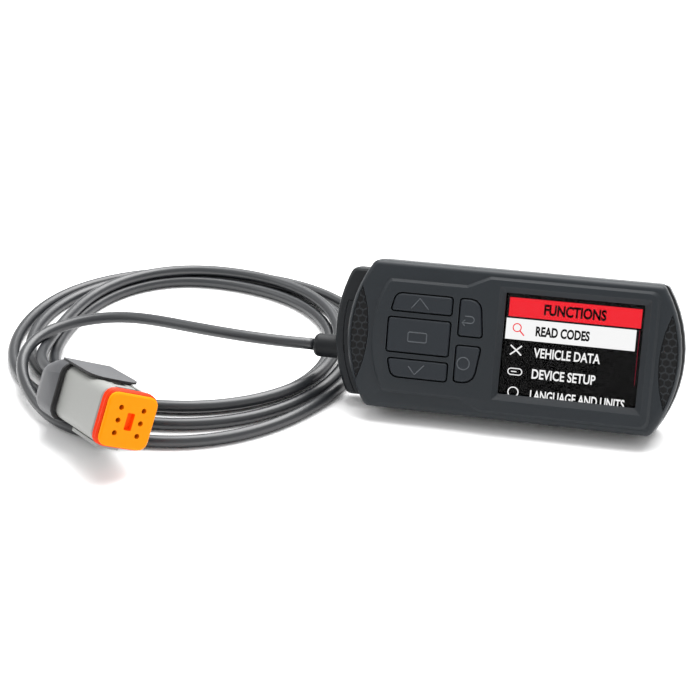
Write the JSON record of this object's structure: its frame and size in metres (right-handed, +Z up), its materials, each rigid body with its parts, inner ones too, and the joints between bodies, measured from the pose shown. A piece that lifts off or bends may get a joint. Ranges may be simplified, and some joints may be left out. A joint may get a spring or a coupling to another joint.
{
  "type": "handheld vehicle code reader",
  "caption": "Handheld vehicle code reader with a colour screen, moulded keys, a coiled lead and a sealed six-way plug; keys press, the lead's head pulls out and the plug's latches flex.",
  "frame": {"origin": "on the floor under the middle of the reader, without its lead", "axes": "+X along the reader towards the screen end, +Y away from its face, +Z up; the reader leans back 20 degrees"},
  "size_m": [0.2795, 0.182, 0.0582],
  "materials": {
    "shell_plastic": "fine moulded texture",
    "rear_plastic": "satin moulded",
    "key_rubber": "matt silicone",
    "black_rubber": "matt",
    "head_moulding": "satin moulded",
    "cord_jacket": "satin jacket",
    "window_glass": "clear",
    "screen": "lit screen",
    "spring_steel": "plain",
    "flat_cable": "amber film",
    "board_laminate": "solder mask",
    "black_resin": "moulded",
    "wedge_plastic": "moulded orange",
    "face_seal_rubber": "silicone",
    "housing_plastic": "moulded grey",
    "contact_metal": "plated"
  },
  "bodies": {
    "reader": {"front_shell": "shell_plastic", "rear_shell": "rear_plastic", "shell_gasket": "black_rubber", "display_window": "window_glass", "display_panel": "screen", "display_tray": "spring_steel", "display_ribbon": "flat_cable", "keypad_mat": "black_rubber", "dome_up": "spring_steel", "dome_select": "spring_steel", "dome_down": "spring_steel", "dome_back": "spring_steel", "dome_circle": "spring_steel", "main_board": "board_laminate", "processor_chip": "black_resin", "memory_chip": "black_resin", "radio_module": "black_resin", "power_converter": "black_resin", "board_socket": "black_resin", "case_screw_1": "spring_steel", "case_screw_2": "spring_steel", "case_screw_3": "spring_steel", "case_screw_4": "spring_steel"},
    "up_key": {"key_up": "key_rubber"},
    "select_key": {"key_select": "key_rubber"},
    "down_key": {"key_down": "key_rubber"},
    "back_key": {"key_back": "key_rubber"},
    "circle_key": {"key_circle": "key_rubber"},
    "lead": {"lead_head": "head_moulding", "pin_block": "black_resin", "head_seal": "face_seal_rubber", "strain_relief": "head_moulding", "cord_lead": "cord_jacket", "cord_coil": "cord_jacket", "cord_tail": "cord_jacket", "rear_boot": "black_rubber", "plug_housing": "housing_plastic", "face_seal": "face_seal_rubber", "contact_1": "contact_metal", "contact_2": "contact_metal", "contact_3": "contact_metal", "contact_4": "contact_metal", "blanking_plug_1": "black_resin", "blanking_plug_2": "black_resin"},
    "wedge": {"wedge_lock": "wedge_plastic"},
    "upper_latch": {"latch_upper": "housing_plastic"},
    "lower_latch": {"latch_lower": "housing_plastic"}
  },
  "joints": [
    {"name": "key_up_press", "type": "slide", "parent": "reader", "child": "up_key", "axis": [0, 0.9397, -0.342], "range_m": [0, 0.0007], "stiffness_N_per_m": 500},
    {"name": "key_select_press", "type": "slide", "parent": "reader", "child": "select_key", "axis": [0, 0.9397, -0.342], "range_m": [0, 0.0007], "stiffness_N_per_m": 500},
    {"name": "key_down_press", "type": "slide", "parent": "reader", "child": "down_key", "axis": [0, 0.9397, -0.342], "range_m": [0, 0.0007], "stiffness_N_per_m": 500},
    {"name": "key_back_press", "type": "slide", "parent": "reader", "child": "back_key", "axis": [0, 0.9397, -0.342], "range_m": [0, 0.0007], "stiffness_N_per_m": 500},
    {"name": "key_circle_press", "type": "slide", "parent": "reader", "child": "circle_key", "axis": [0, 0.9397, -0.342], "range_m": [0, 0.0007], "stiffness_N_per_m": 500},
    {"name": "lead_unplug", "type": "slide", "parent": "reader", "child": "lead", "axis": [-1, 0, 0], "range_m": [0, 0.012]},
    {"name": "wedge_pull", "type": "slide", "parent": "lead", "child": "wedge", "axis": [0.7359, -0.6626, 0.1392], "range_m": [0, 0.006]},
    {"name": "latch_upper_press", "type": "hinge", "parent": "lead", "child": "upper_latch", "pos_m": [-0.13553, -0.06297, 0.02847], "axis": [-0.6467, -0.6271, 0.4341], "range_deg": [0, 4], "stiffness_Nm_per_rad": 0.2},
    {"name": "latch_lower_press", "type": "hinge", "parent": "lead", "child": "lower_latch", "pos_m": [-0.13989, -0.07188, 0.00911], "axis": [0.6467, 0.6271, -0.4341], "range_deg": [0, 4], "stiffness_Nm_per_rad": 0.2}
  ]
}
